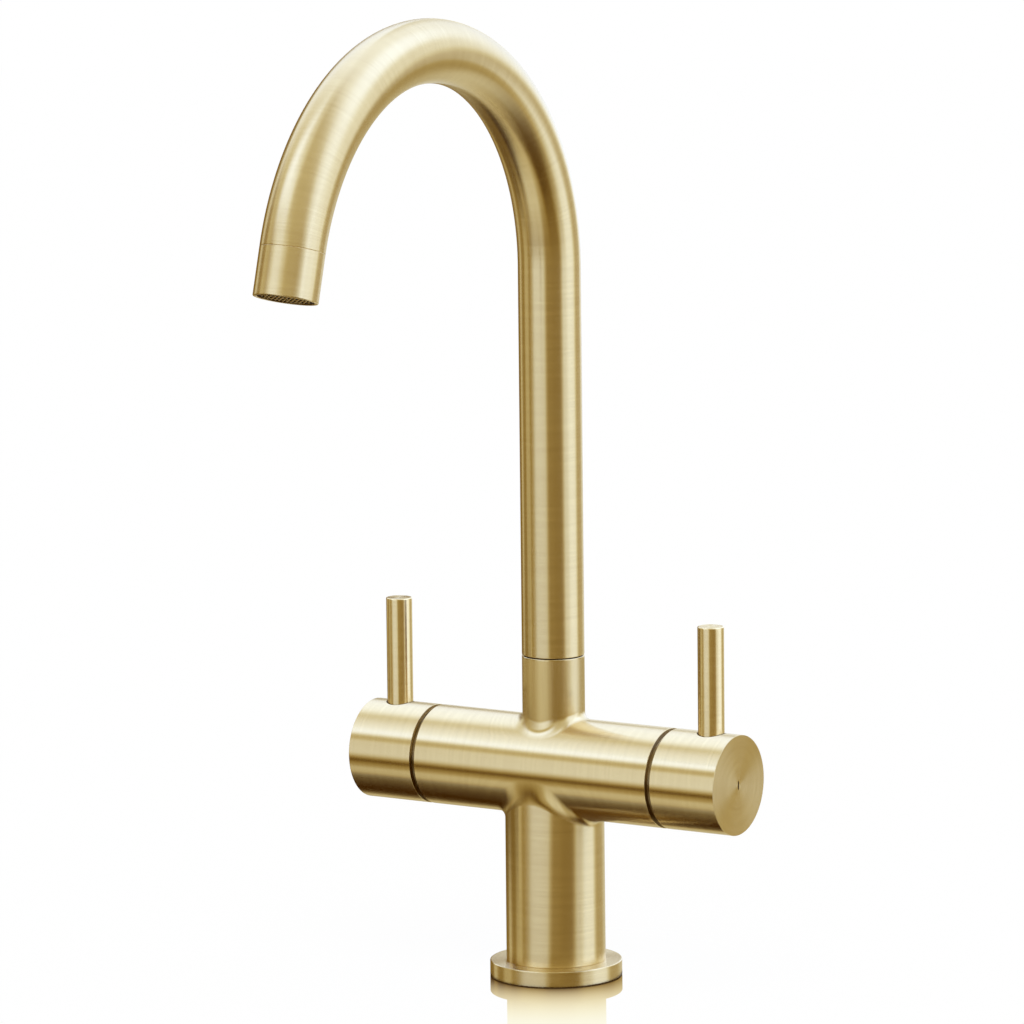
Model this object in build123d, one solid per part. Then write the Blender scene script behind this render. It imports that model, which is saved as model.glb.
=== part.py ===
from build123d import *
import os
from math import cos, radians, sin

# A two-lever swan neck sink mixer, in millimetres and degrees.
# The origin is the centre of the foot on the deck, +Z is up, +X points to the right handle
# and -Y to the front, where the spout points at rest.

# Body casting
crossbar_diameter = 40.0
crossbar_height = 85.0
body_width = 108.0
column_step = 0.1
crease_fillet = 3.0
boss_height = 25.0
boss_wall = 3.0
boss_fillet = 3.5
neck_length = 5.0
edge_chamfer = 0.4

# Flange, seal and inlet block at the foot
flange_lip = 6.6
flange_height = 6.5
foot_step = 1.9
foot_recess = 1.0
seal_width = 3.0
seal_thickness = 2.0
seal_inset = 3.0
block_wall = 2.0
block_height = 12.0
port_diameter = 9.0
port_spacing = 16.0
stud_hole_diameter = 5.0
stud_hole_depth = 9.0
stud_spacing = 22.0

# Waterways inside the casting
channel_ledge = 2.0
channel_web = 4.0
seat_hole_diameter = 9.0
channel_headroom = 1.0
passage_wall = 2.0
outlet_diameter = 7.0
mixing_diameter = 14.0
socket_depth = 26.0

# Valve: gland, discs, spindle and washers
gland_thread_diameter = 20.6
gland_thread_length = 14.0
gland_reach = 28.0
gland_head_width = 22.0
gland_head_thickness = 4.5
gland_washer_thickness = 1.0
gland_washer_width = 2.6
housing_wall = 1.65
fixed_disc_thickness = 3.2
moving_disc_thickness = 2.8
disc_diameter = 13.0
disc_hub_diameter = 3.0
disc_rim = 1.4
disc_opening_angle = 76.0
disc_key_width = 3.0
blade_width = 4.0
blade_height = 4.5
blade_bite = 1.2
spindle_diameter = 8.0
spindle_flange_thickness = 1.5
seat_washer_thickness = 2.0
seat_washer_width = 3.0
spindle_groove_depth = 1.2
spindle_ring_offset = 5.0
spindle_ring_spacing = 4.0
clip_thickness = 1.0
clip_width = 2.6
clip_grip = 0.5
clip_groove_depth = 0.8
spline_teeth = 20
spline_tooth_height = 0.4

# Handle: cap, lever, insert, guide ring and screw
handle_gap = 2.2
cap_length = 29.0
cap_wall = 1.8
cap_end_wall = 4.2
insert_diameter = 14.0
guide_ring_width = 1.5
guide_ring_thickness = 1.2
guide_ring_offset = 0.6
guide_ring_slit = 1.0
lever_diameter = 10.5
lever_offset = 16.8
lever_rise = 42.5
lever_seat_depth = 2.0
lever_seat_clearance = 0.45
lever_stud_diameter = 8.0
lever_stud_length = 6.0
handle_screw_diameter = 5.0
handle_screw_sink = 0.6
screw_socket_width = 2.5
screw_socket_depth = 2.5

# Spout: tube, spigot, slip ring and retaining screw
spout_diameter = 25.0
spout_wall = 2.0
riser_length = 155.5
arch_radius = 92.5
arch_angle = 164.0
slip_ring_thickness = 0.5
slip_ring_inset = 0.7
spigot_bore = 10.0
spigot_plug_length = 15.0
spigot_end_gap = 1.5
spigot_ring_groove = 1.9
spigot_ring_offset = 5.0
retaining_groove_width = 3.0
retaining_groove_depth = 1.4
retaining_screw_diameter = 4.0
retaining_screw_depth = 11.0
retaining_screw_socket = 2.0

# Outlet: nipple, collar and aerator
collar_length = 19.0
collar_joint = 0.15
collar_wall = 1.5
nipple_wall = 2.4
nipple_plug_length = 4.0
nipple_stub_length = 8.0
aerator_recess = 0.5
aerator_washer_thickness = 1.0
aerator_plate_thickness = 2.0
aerator_rim_wall = 1.7
aerator_ledge = 0.8
screen_thickness = 0.8
screen_depth = 0.3
screen_hole_diameter = 2.2
screen_pitch = 2.9
screen_rings = 2

# Clearances: between faces that turn on each other, that are fixed together, and that stay apart
running_clearance = 0.05
seat_clearance = 0.05
film = 0.03
free_clearance = 0.3
loose_clearance = 0.7

# Sizes that follow from the ones above
column_diameter = crossbar_diameter - 2 * column_step
flange_diameter = column_diameter + 2 * flange_lip
foot_diameter = column_diameter - 2 * foot_step
block_diameter = foot_diameter - 2 * block_wall
block_top = foot_recess + block_height
channel_radius = block_diameter / 2 - channel_ledge
channel_top = crossbar_height + seat_hole_diameter / 2 + channel_headroom
outlet_height = channel_top + passage_wall + outlet_diameter / 2
arm_end = body_width / 2
neck_end = arm_end + neck_length
crossbar_top = crossbar_height + crossbar_diameter / 2
joint_height = crossbar_top + boss_height
socket_floor = joint_height - socket_depth
socket_diameter = spout_diameter - 2 * boss_wall
spout_bore = spout_diameter - 2 * spout_wall

chamber_diameter = disc_diameter + 2 * running_clearance
housing_diameter = chamber_diameter + 2 * housing_wall
valve_bore = gland_thread_diameter + 2 * seat_clearance
head_start = neck_end + gland_washer_thickness
head_end = head_start + gland_head_thickness
gland_end = head_start - gland_reach
valve_seat = gland_end - seat_washer_thickness
moving_disc_start = gland_end + fixed_disc_thickness + film
moving_disc_end = moving_disc_start + moving_disc_thickness
spindle_flange_start = moving_disc_end + blade_height
spindle_flange_end = spindle_flange_start + spindle_flange_thickness
chamber_end = spindle_flange_end + running_clearance
clip_start = head_end + running_clearance
clip_end = clip_start + clip_thickness

cap_start = arm_end + handle_gap
cap_end = cap_start + cap_length
cap_bore = crossbar_diameter - 2 * cap_wall
hub_start = clip_end + loose_clearance
insert_end = cap_end - cap_end_wall
insert_start = hub_start + seat_clearance
neck_diameter = cap_bore - 2 * free_clearance
guide_ring_outer = cap_bore - 2 * running_clearance
guide_ring_inner = guide_ring_outer - 2 * guide_ring_thickness
guide_ring_start = cap_start + guide_ring_offset
lever_place = cap_start + lever_offset
lever_floor = crossbar_top - lever_seat_depth
lever_top = crossbar_top + lever_rise

spout_foot = joint_height + slip_ring_thickness
riser_top = spout_foot + riser_length
spigot_diameter = socket_diameter - 2 * running_clearance
spigot_end = socket_floor + spigot_end_gap
retaining_height = joint_height - retaining_screw_depth
spigot_plug_diameter = spout_bore - 2 * seat_clearance
nipple_diameter = spigot_plug_diameter - nipple_plug_length**2 / arch_radius
nipple_bore = nipple_diameter - 2 * nipple_wall
housing_start = nipple_stub_length + aerator_washer_thickness
housing_end = collar_length - aerator_recess
collar_bore = spout_diameter - 2 * collar_wall
aerator_diameter = collar_bore - 2 * seat_clearance
screen_seat = housing_end - screen_depth - screen_thickness
screen_diameter = aerator_diameter - 2 * aerator_rim_wall - 2 * seat_clearance


def turned(*corners):
    """A turned piece: the outline through its (radius, height) corners, spun about Z."""
    outline = make_face(Polyline(*corners, close=True))
    return revolve(Plane.XZ * outline, Axis.Z)


def rod(diameter, bottom, top):
    """A plain round bar along Z."""
    return Pos(0, 0, (bottom + top) / 2) * Cylinder(diameter / 2, top - bottom)


def ring(outer, inner, bottom, top):
    """A plain ring about Z, from its outer and inner diameters."""
    return turned((inner / 2, bottom), (outer / 2, bottom), (outer / 2, top), (inner / 2, top))


def o_ring(outer, inner, height):
    """A round-section ring about Z."""
    return Pos(0, 0, height) * Torus((outer + inner) / 4, (outer - inner) / 4)


def on_crossbar(piece):
    """Lay a piece that was made along Z on the crossbar's axis, with its top towards +X."""
    return Pos(0, 0, crossbar_height) * Rot(0, 90, 0) * piece


def both_sides(piece):
    """A piece on the right together with its mirror image on the left."""
    return piece + mirror(piece, about=Plane.YZ)


def save(name, piece):
    export_step(piece, f"parts/{name}.step")


def save_pair(name, piece):
    """Write a piece of the right handle or valve, and its mirror image on the left."""
    save(f"right_{name}", piece)
    save(f"left_{name}", mirror(piece, about=Plane.YZ))


def base_flange():
    """A ring on the deck, with the seal's groove underneath."""
    radius = flange_diameter / 2
    bore = foot_diameter / 2 + seat_clearance
    disc = turned(
        (bore, 0),
        (radius - edge_chamfer, 0),
        (radius, edge_chamfer),
        (radius, flange_height - edge_chamfer),
        (radius - edge_chamfer, flange_height),
        (bore, flange_height),
    )
    outer = flange_diameter - 2 * seal_inset
    groove = ring(
        outer + 2 * seat_clearance,
        outer - 2 * seal_width - 2 * seat_clearance,
        0,
        seal_thickness,
    )
    return disc - groove


def base_seal():
    """A flat rubber ring, flush with the underside of the flange."""
    outer = flange_diameter - 2 * seal_inset
    return ring(outer, outer - 2 * seal_width, 0, seal_thickness)


def inlet_block():
    """The plug in the foot: two hose ports side by side, two blind stud holes front and back."""
    block = rod(block_diameter, foot_recess, block_top)
    for side in (-1, 1):
        block -= Pos(side * port_spacing / 2, 0, 0) * rod(port_diameter, foot_recess, block_top)
        hole_top = foot_recess + stud_hole_depth
        block -= Pos(0, side * stud_spacing / 2, 0) * rod(stud_hole_diameter, foot_recess, hole_top)
    return block


def outer_casting():
    """Column, crossbar and boss with blended creases, before any boring."""
    radius = column_diameter / 2
    column = turned(
        (0, flange_height),
        (radius - edge_chamfer, flange_height),
        (radius, flange_height + edge_chamfer),
        (radius, crossbar_height),
        (0, crossbar_height),
    )
    bar_radius = crossbar_diameter / 2
    crossbar = turned(
        (0, -arm_end),
        (bar_radius - edge_chamfer, -arm_end),
        (bar_radius, edge_chamfer - arm_end),
        (bar_radius, arm_end - edge_chamfer),
        (bar_radius - edge_chamfer, arm_end),
        (0, arm_end),
    )
    boss = rod(spout_diameter, crossbar_height, joint_height)
    casting = column + on_crossbar(crossbar) + boss
    plain = (GeomType.CIRCLE, GeomType.LINE)
    creases = [edge for edge in casting.edges() if edge.geom_type not in plain]
    under = [edge for edge in creases if edge.center().Z < crossbar_height]
    casting = fillet(under, crease_fillet)
    creases = [edge for edge in casting.edges() if edge.geom_type not in plain]
    top = [edge for edge in creases if edge.bounding_box().min.Z > crossbar_height]
    return fillet(top, boss_fillet)


def water_channel():
    """The cold supply's D-shaped channel on the right, from the inlet block up to the valve's height."""
    round_part = rod(2 * channel_radius, block_top, channel_top)
    width = channel_radius - channel_web / 2
    half = Box(width, 2 * channel_radius, channel_top - block_top)
    return round_part & Pos(channel_web / 2 + width / 2, 0, (block_top + channel_top) / 2) * half


def mixer_body():
    """The casting with its necks, waterways, valve bores and spout socket."""
    body = outer_casting() + rod(foot_diameter, foot_recess, flange_height)
    groove_end = guide_ring_start + guide_ring_width + 2 * seat_clearance
    groove = ring(crossbar_diameter, guide_ring_inner - 2 * seat_clearance, guide_ring_start, groove_end)
    body += both_sides(on_crossbar(rod(neck_diameter, 0, neck_end) - groove))
    body -= rod(block_diameter + 2 * seat_clearance, foot_recess, block_top)
    body -= both_sides(water_channel())
    body -= both_sides(on_crossbar(rod(valve_bore, valve_seat, neck_end)))
    body -= both_sides(on_crossbar(rod(seat_hole_diameter, port_spacing / 2, valve_seat)))
    passage = on_crossbar(rod(outlet_diameter, -spindle_flange_start, spindle_flange_start))
    body -= Pos(0, 0, outlet_height - crossbar_height) * passage
    body -= rod(mixing_diameter, outlet_height, socket_floor)
    body -= rod(socket_diameter, socket_floor, joint_height)
    hole = rod(retaining_screw_diameter + 2 * seat_clearance, 0, spout_diameter)
    body -= Pos(0, 0, retaining_height) * Rot(-90, 0, 0) * hole
    return body


def spout_retaining_screw():
    """A grub screw behind the boss, whose dog point runs in the spigot's groove."""
    outer = spout_diameter / 2 - free_clearance
    wall = socket_diameter / 2 + running_clearance
    tip = spigot_diameter / 2 - retaining_groove_depth + free_clearance
    radius = retaining_screw_diameter / 2
    point = retaining_groove_width / 2 - free_clearance
    screw = turned((0, tip), (point, tip), (point, wall), (radius, wall), (radius, outer), (0, outer))
    key = RegularPolygon(retaining_screw_socket / 2, 6, major_radius=False)
    screw -= Pos(0, 0, outer - retaining_screw_socket) * extrude(key, retaining_screw_socket)
    return Pos(0, 0, retaining_height) * Rot(-90, 0, 0) * screw


def disc_openings(thickness):
    """Two opposite sector openings, through a disc that lies on Z = 0."""
    reach = disc_diameter
    half = radians(disc_opening_angle / 2)
    corner = (reach * cos(half), reach * sin(half))
    wedge = make_face(Polyline((0, 0), corner, (corner[0], -corner[1]), close=True))
    sector = extrude(wedge, thickness) & ring(disc_diameter - 2 * disc_rim, disc_hub_diameter, 0, thickness)
    return sector + Rot(0, 0, 180) * sector


def valve_gland():
    """Hexagon head, threaded shank and disc housing with two outlet windows and two key slots."""
    shank = turned(
        (chamber_diameter / 2, gland_end),
        (housing_diameter / 2, gland_end),
        (housing_diameter / 2, head_start - gland_thread_length),
        (gland_thread_diameter / 2, head_start - gland_thread_length),
        (gland_thread_diameter / 2, head_start),
        (0, head_start),
        (0, chamber_end),
        (chamber_diameter / 2, chamber_end),
    )
    hexagon = RegularPolygon(gland_head_width / 2, 6, major_radius=False)
    gland = shank + Pos(0, 0, head_start) * extrude(hexagon, gland_head_thickness)
    gland -= rod(spindle_diameter + 2 * running_clearance, chamber_end, head_end)
    window = Box(2 * housing_diameter, chamber_diameter / 2, blade_height)
    gland -= Pos(0, 0, moving_disc_end + blade_height / 2) * window
    slot_width = disc_key_width + 2 * seat_clearance
    slot = Box(slot_width, 2 * housing_diameter, fixed_disc_thickness)
    gland -= Pos(0, 0, gland_end + fixed_disc_thickness / 2) * slot
    return on_crossbar(gland)


def gland_washer():
    """A fibre washer between the neck and the gland's head."""
    return on_crossbar(ring(valve_bore + 2 * gland_washer_width, valve_bore, neck_end, head_start))


def seat_washer():
    """A rubber washer that seals the gland on its seat."""
    inner = housing_diameter - 2 * seat_washer_width
    return on_crossbar(ring(housing_diameter, inner, valve_seat, gland_end))


def fixed_disc():
    """The lower ceramic disc, with two keys in the gland's slots."""
    key = Box(disc_key_width, housing_diameter, fixed_disc_thickness)
    disc = rod(disc_diameter, 0, fixed_disc_thickness) + Pos(0, 0, fixed_disc_thickness / 2) * key
    disc -= disc_openings(fixed_disc_thickness)
    return on_crossbar(Pos(0, 0, gland_end) * disc)


def moving_disc():
    """The upper ceramic disc, closed at rest, with a slot for the spindle's blade."""
    disc = rod(disc_diameter, 0, moving_disc_thickness)
    disc -= Rot(0, 0, 90) * disc_openings(moving_disc_thickness)
    slot = Box(disc_diameter, blade_width + 2 * seat_clearance, blade_bite + seat_clearance)
    disc -= Pos(0, 0, moving_disc_thickness - (blade_bite + seat_clearance) / 2) * slot
    return on_crossbar(Pos(0, 0, moving_disc_start) * disc)


def spline_profile(clearance):
    """A fine-toothed round section: crests at the spindle's radius, roots one tooth height below."""
    crest = spindle_diameter / 2 + clearance
    root = crest - spline_tooth_height
    step = 180 / spline_teeth
    radii = [root if corner % 2 else crest for corner in range(2 * spline_teeth)]
    turns = [radians(step * corner) for corner in range(2 * spline_teeth)]
    return make_face(Polyline(*[(r * cos(t), r * sin(t)) for r, t in zip(radii, turns)], close=True))


def spindle_ring_heights():
    """Where the two rubber rings sit along the spindle."""
    first = chamber_end + spindle_ring_offset
    return first, first + spindle_ring_spacing


def valve_spindle():
    """Drive blade, flange, stem with two ring grooves and a clip groove, and a splined end."""
    stem_end = insert_end - free_clearance
    spindle = rod(spindle_diameter, spindle_flange_end, insert_start)
    spindle += Pos(0, 0, insert_start) * extrude(spline_profile(0), stem_end - insert_start)
    spindle += rod(disc_diameter, spindle_flange_start, spindle_flange_end)
    blade = Box(disc_diameter, blade_width, blade_height + blade_bite)
    blade = Pos(0, 0, spindle_flange_start - (blade_height + blade_bite) / 2) * blade
    spindle += blade & rod(disc_diameter, moving_disc_start, spindle_flange_start)
    root = spindle_diameter - 2 * spindle_groove_depth
    for height in spindle_ring_heights():
        spindle -= ring(disc_diameter, root, height - spindle_groove_depth, height + spindle_groove_depth)
    clip_root = spindle_diameter - 2 * clip_groove_depth
    spindle -= ring(disc_diameter, clip_root, clip_start - seat_clearance, clip_end + seat_clearance)
    return on_crossbar(spindle)


def spindle_o_rings():
    """Two rubber rings between the spindle and the gland."""
    inner = spindle_diameter - 2 * spindle_groove_depth + 2 * seat_clearance
    rings = [on_crossbar(o_ring(spindle_diameter, inner, height)) for height in spindle_ring_heights()]
    return Compound(children=rings)


def spindle_clip():
    """An open spring clip in the spindle's groove, just outside the gland."""
    inner = spindle_diameter - 2 * clip_groove_depth + 2 * seat_clearance
    outer = inner + 2 * clip_width
    mouth = Pos(outer / 2, 0, (clip_start + clip_end) / 2) * Box(outer, inner - 2 * clip_grip, clip_thickness)
    return on_crossbar(ring(outer, inner, clip_start, clip_end) - mouth)


def handle_guide_ring():
    """A split plastic ring in the neck's groove."""
    start = guide_ring_start + seat_clearance
    end = start + guide_ring_width
    band = ring(guide_ring_outer, guide_ring_inner, start, end)
    slit = Pos(guide_ring_outer / 2, 0, end) * Box(guide_ring_outer, guide_ring_slit, 4 * guide_ring_width)
    return on_crossbar(band - slit)


def handle_screw_place():
    """How far out the handle's grub screw stands."""
    return (insert_start + insert_end) / 2


def handle_cap():
    """Thin skirt over the neck, and a solid hub that holds the insert, the lever and the grub screw."""
    radius = crossbar_diameter / 2
    hub_hole = insert_diameter / 2 + seat_clearance
    cap = turned(
        (cap_bore / 2, cap_start),
        (radius - edge_chamfer, cap_start),
        (radius, cap_start + edge_chamfer),
        (radius, cap_end - edge_chamfer),
        (radius - edge_chamfer, cap_end),
        (0, cap_end),
        (0, insert_end),
        (hub_hole, insert_end),
        (hub_hole, hub_start),
        (cap_bore / 2, hub_start),
    )
    cap = on_crossbar(cap)
    seat = rod(lever_diameter + 2 * lever_seat_clearance, lever_floor, lever_top)
    thread_depth = lever_stud_length + free_clearance
    thread = rod(lever_stud_diameter + 2 * seat_clearance, lever_floor - thread_depth, lever_floor)
    cap -= Pos(lever_place, 0, 0) * (seat + thread)
    hole = rod(handle_screw_diameter + 2 * seat_clearance, 0, crossbar_height)
    cap -= Pos(handle_screw_place(), 0, 0) * hole
    return cap


def lever():
    """A round rod with a threaded stud at its foot."""
    radius = lever_diameter / 2
    stud = lever_stud_diameter / 2
    pin = turned(
        (0, lever_floor - lever_stud_length),
        (stud, lever_floor - lever_stud_length),
        (stud, lever_floor),
        (radius, lever_floor),
        (radius, lever_top - edge_chamfer),
        (radius - edge_chamfer, lever_top),
        (0, lever_top),
    )
    return Pos(lever_place, 0, 0) * pin


def spline_insert():
    """A bush in the cap's hub, with the spindle's spline cut through it."""
    bush = rod(insert_diameter, insert_start, insert_end)
    spline = extrude(spline_profile(seat_clearance), insert_end - insert_start)
    return on_crossbar(bush - Pos(0, 0, insert_start) * spline)


def handle_screw():
    """A grub screw under the cap, with a hexagon socket."""
    tip = crossbar_height - insert_diameter / 2 - running_clearance
    head = crossbar_height - crossbar_diameter / 2 + handle_screw_sink
    screw = rod(handle_screw_diameter, head, tip)
    key = RegularPolygon(screw_socket_width / 2, 6, major_radius=False)
    screw -= Pos(0, 0, head) * extrude(key, screw_socket_depth)
    return Pos(handle_screw_place(), 0, 0) * screw


def swan_neck_tube():
    """A tube that rises straight and then bends forward and down in one wide arc."""
    foot = (0, 0, spout_foot)
    top = (0, 0, riser_top)
    riser = Line(foot, top)
    turn = radians(arch_angle)
    half = turn / 2
    middle = (0, arch_radius * (cos(half) - 1), riser_top + arch_radius * sin(half))
    arch = ThreePointArc(top, middle, nozzle_plane().origin)
    section = Plane(foot) * (Circle(spout_diameter / 2) - Circle(spout_bore / 2))
    return sweep(section, path=Wire([riser, arch]))


def nozzle_plane():
    """The tube's far end: the plane whose Z axis is the way the water leaves."""
    turn = radians(arch_angle)
    end = (0, arch_radius * (cos(turn) - 1), riser_top + arch_radius * sin(turn))
    return Plane(end, x_dir=(1, 0, 0), z_dir=(0, -sin(turn), cos(turn)))


def spigot_ring_heights():
    """Where the two rubber rings sit on the spigot, one near each end."""
    return joint_height - spigot_ring_offset, spigot_end + spigot_ring_offset


def spout_spigot():
    """A plug in the tube's foot and a grooved spigot that turns in the boss."""
    plug = spigot_plug_diameter / 2
    body = spigot_diameter / 2
    spigot = turned(
        (spigot_bore / 2, spigot_end),
        (body - edge_chamfer, spigot_end),
        (body, spigot_end + edge_chamfer),
        (body, spout_foot),
        (plug, spout_foot),
        (plug, spout_foot + spigot_plug_length),
        (spigot_bore / 2, spout_foot + spigot_plug_length),
    )
    root = spigot_diameter - 2 * spigot_ring_groove
    for height in spigot_ring_heights():
        spigot -= ring(spout_diameter, root, height - spigot_ring_groove, height + spigot_ring_groove)
    half = retaining_groove_width / 2
    groove_root = spigot_diameter - 2 * retaining_groove_depth
    spigot -= ring(spout_diameter, groove_root, retaining_height - half, retaining_height + half)
    return spigot


def spout_o_rings():
    """Two rubber rings between the spigot and its socket."""
    inner = spigot_diameter - 2 * spigot_ring_groove + 2 * seat_clearance
    rings = [o_ring(spigot_diameter, inner, height) for height in spigot_ring_heights()]
    return Compound(children=rings)


def spout_slip_ring():
    """A thin plastic ring on the boss, which the tube's foot turns on."""
    outer = spout_diameter - 2 * slip_ring_inset
    inner = spigot_diameter + 2 * free_clearance
    return ring(outer, inner, joint_height, spout_foot - film)


def outlet_nipple():
    """A short threaded tube, half of it in the spout's end and half in the collar."""
    return nozzle_plane() * ring(nipple_diameter, nipple_bore, -nipple_plug_length, nipple_stub_length)


def aerator_collar():
    """A sleeve flush with the spout, screwed on the nipple and bored wider for the aerator."""
    thread = nipple_diameter / 2 + seat_clearance
    outer = spout_diameter / 2
    mouth = collar_bore / 2
    collar = turned(
        (thread, collar_joint),
        (outer - collar_joint, collar_joint),
        (outer, 2 * collar_joint),
        (outer, collar_length - edge_chamfer),
        (outer - edge_chamfer, collar_length),
        (mouth, collar_length),
        (mouth, housing_start),
        (thread, housing_start),
    )
    return nozzle_plane() * collar


def aerator_washer():
    """A rubber washer between the nipple and the aerator."""
    return nozzle_plane() * ring(nipple_diameter, nipple_bore, nipple_stub_length, housing_start)


def hole_rings(diameter, pitch, rings, start, end):
    """One hole in the middle and rings of six, twelve and so on around it."""
    holes = rod(diameter, start, end)
    for circle in range(1, rings + 1):
        for turn in range(6 * circle):
            holes += Rot(0, 0, 60 * turn / circle) * Pos(pitch * circle, 0, 0) * rod(diameter, start, end)
    return holes


def aerator_housing():
    """A cup with a perforated top plate and a ledge near its mouth for the screen."""
    outer = aerator_diameter / 2
    mouth = outer - aerator_rim_wall
    throat = mouth - aerator_ledge
    plate_end = housing_start + aerator_plate_thickness
    cup = turned(
        (0, housing_start),
        (outer, housing_start),
        (outer, housing_end),
        (mouth, housing_end),
        (mouth, screen_seat),
        (throat, screen_seat),
        (throat, plate_end),
        (0, plate_end),
    )
    cup -= hole_rings(screen_hole_diameter, 2 * screen_pitch, 1, housing_start, plate_end)
    return nozzle_plane() * cup


def aerator_screen():
    """A round plate full of holes, on the housing's ledge."""
    end = screen_seat + screen_thickness
    plate = rod(screen_diameter, screen_seat, end)
    plate -= hole_rings(screen_hole_diameter, screen_pitch, screen_rings, screen_seat, end)
    return nozzle_plane() * plate


os.makedirs("parts", exist_ok=True)

save("base_flange", base_flange())
save("base_seal", base_seal())
save("mixer_body", mixer_body())
save("inlet_block", inlet_block())
save("spout_retaining_screw", spout_retaining_screw())

save_pair("valve_gland", valve_gland())
save_pair("gland_washer", gland_washer())
save_pair("seat_washer", seat_washer())
save_pair("fixed_disc", fixed_disc())
save_pair("moving_disc", moving_disc())
save_pair("valve_spindle", valve_spindle())
save_pair("spindle_o_rings", spindle_o_rings())
save_pair("spindle_clip", spindle_clip())
save_pair("handle_guide_ring", handle_guide_ring())
save_pair("handle_cap", handle_cap())
save_pair("lever", lever())
save_pair("spline_insert", spline_insert())
save_pair("handle_screw", handle_screw())

save("swan_neck_tube", swan_neck_tube())
save("spout_spigot", spout_spigot())
save("spout_o_rings", spout_o_rings())
save("spout_slip_ring", spout_slip_ring())
save("outlet_nipple", outlet_nipple())
save("aerator_collar", aerator_collar())
save("aerator_washer", aerator_washer())
save("aerator_housing", aerator_housing())
save("aerator_screen", aerator_screen())
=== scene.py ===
import bmesh
import bpy
import numpy as np
from mathutils import Matrix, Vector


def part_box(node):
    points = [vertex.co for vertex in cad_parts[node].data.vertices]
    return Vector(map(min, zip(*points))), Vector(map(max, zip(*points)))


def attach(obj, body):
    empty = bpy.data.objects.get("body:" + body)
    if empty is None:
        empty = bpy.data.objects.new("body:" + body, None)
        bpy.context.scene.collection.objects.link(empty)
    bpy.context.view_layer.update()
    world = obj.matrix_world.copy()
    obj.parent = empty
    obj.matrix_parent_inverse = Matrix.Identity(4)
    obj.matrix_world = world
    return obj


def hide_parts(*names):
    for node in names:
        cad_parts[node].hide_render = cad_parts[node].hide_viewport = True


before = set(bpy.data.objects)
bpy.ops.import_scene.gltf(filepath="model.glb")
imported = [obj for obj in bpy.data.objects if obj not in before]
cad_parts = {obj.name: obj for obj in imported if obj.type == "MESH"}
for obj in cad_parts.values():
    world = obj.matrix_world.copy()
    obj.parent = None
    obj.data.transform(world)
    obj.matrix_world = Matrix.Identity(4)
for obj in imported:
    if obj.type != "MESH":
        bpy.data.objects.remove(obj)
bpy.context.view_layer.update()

# Base flange: a ring turned from brass bar, brushed on the lathe and gold plated. It slips over the foot of
# the body and covers the edge of the hole in the sink; a groove underneath holds the rubber seal.
mm = 0.001
same_place = 1e-3 * mm
crisp_angle = np.radians(35)


def rounded(corners, radius, steps=6):
    """An outline through (radius, height) corners, with an arc at each inner corner. An arc touches both
    sides at one reach from its corner, its radius over the tangent of half the corner's angle and at most a
    share of the shorter side, and its points are the first touching radius turned into the last. A further
    point on each side, a little past the reach, keeps the shading flat there."""
    most_of_side, past_reach = 0.3, 1.5
    corner = np.array(corners, float)
    at = corner[1:-1]
    sides = np.stack([corner[:-2] - at, corner[2:] - at])
    lengths = np.linalg.norm(sides, axis=-1, keepdims=True)
    sides = sides / lengths
    half = np.arccos(np.clip(np.sum(sides[0] * sides[1], axis=-1, keepdims=True), -1, 1)) / 2
    reach = np.minimum(np.reshape(radius, (-1, 1)) / np.tan(half), most_of_side * lengths.min(axis=0))
    middle = sides.sum(axis=0)
    centre = at + middle / np.linalg.norm(middle, axis=-1, keepdims=True) * reach / np.cos(half)
    touch = at + sides * reach - centre
    sweep = (np.pi - 2 * half)[:, None]
    share = np.linspace(0, 1, steps + 1)[None, :, None]
    turned = touch[0][:, None] * np.sin((1 - share) * sweep) + touch[1][:, None] * np.sin(share * sweep)
    arc = centre[:, None] + turned / np.sin(sweep)
    leads = (at + sides * reach * past_reach)[:, :, None]
    outline = np.concatenate([leads[0], arc, leads[1]], axis=1).reshape(-1, 2)
    outline = np.concatenate([corner[:1], outline, corner[-1:]])
    steps_taken = np.linalg.norm(np.diff(outline, axis=0), axis=1)
    return outline[np.concatenate([[True], steps_taken > same_place])]


full_turn = np.linspace(0, 2 * np.pi, 193)


def spin(profile, turn=full_turn):
    """A turned sheet about Z: each (radius, height) point of the profile stands at its radius times the
    cosine and sine of the turn. Its brushing coordinates are the way along the profile and the share of the
    turn."""
    profile = np.asarray(profile, float)
    radius, height = profile[:, :1], profile[:, 1:]
    along = np.concatenate([[0], np.cumsum(np.linalg.norm(np.diff(profile, axis=0), axis=1))])[:, None]
    grid = np.stack(np.broadcast_arrays(radius * np.cos(turn), radius * np.sin(turn), height), axis=-1)
    return grid, np.stack(np.broadcast_arrays(along, turn / (2 * np.pi)), axis=-1)


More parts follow.
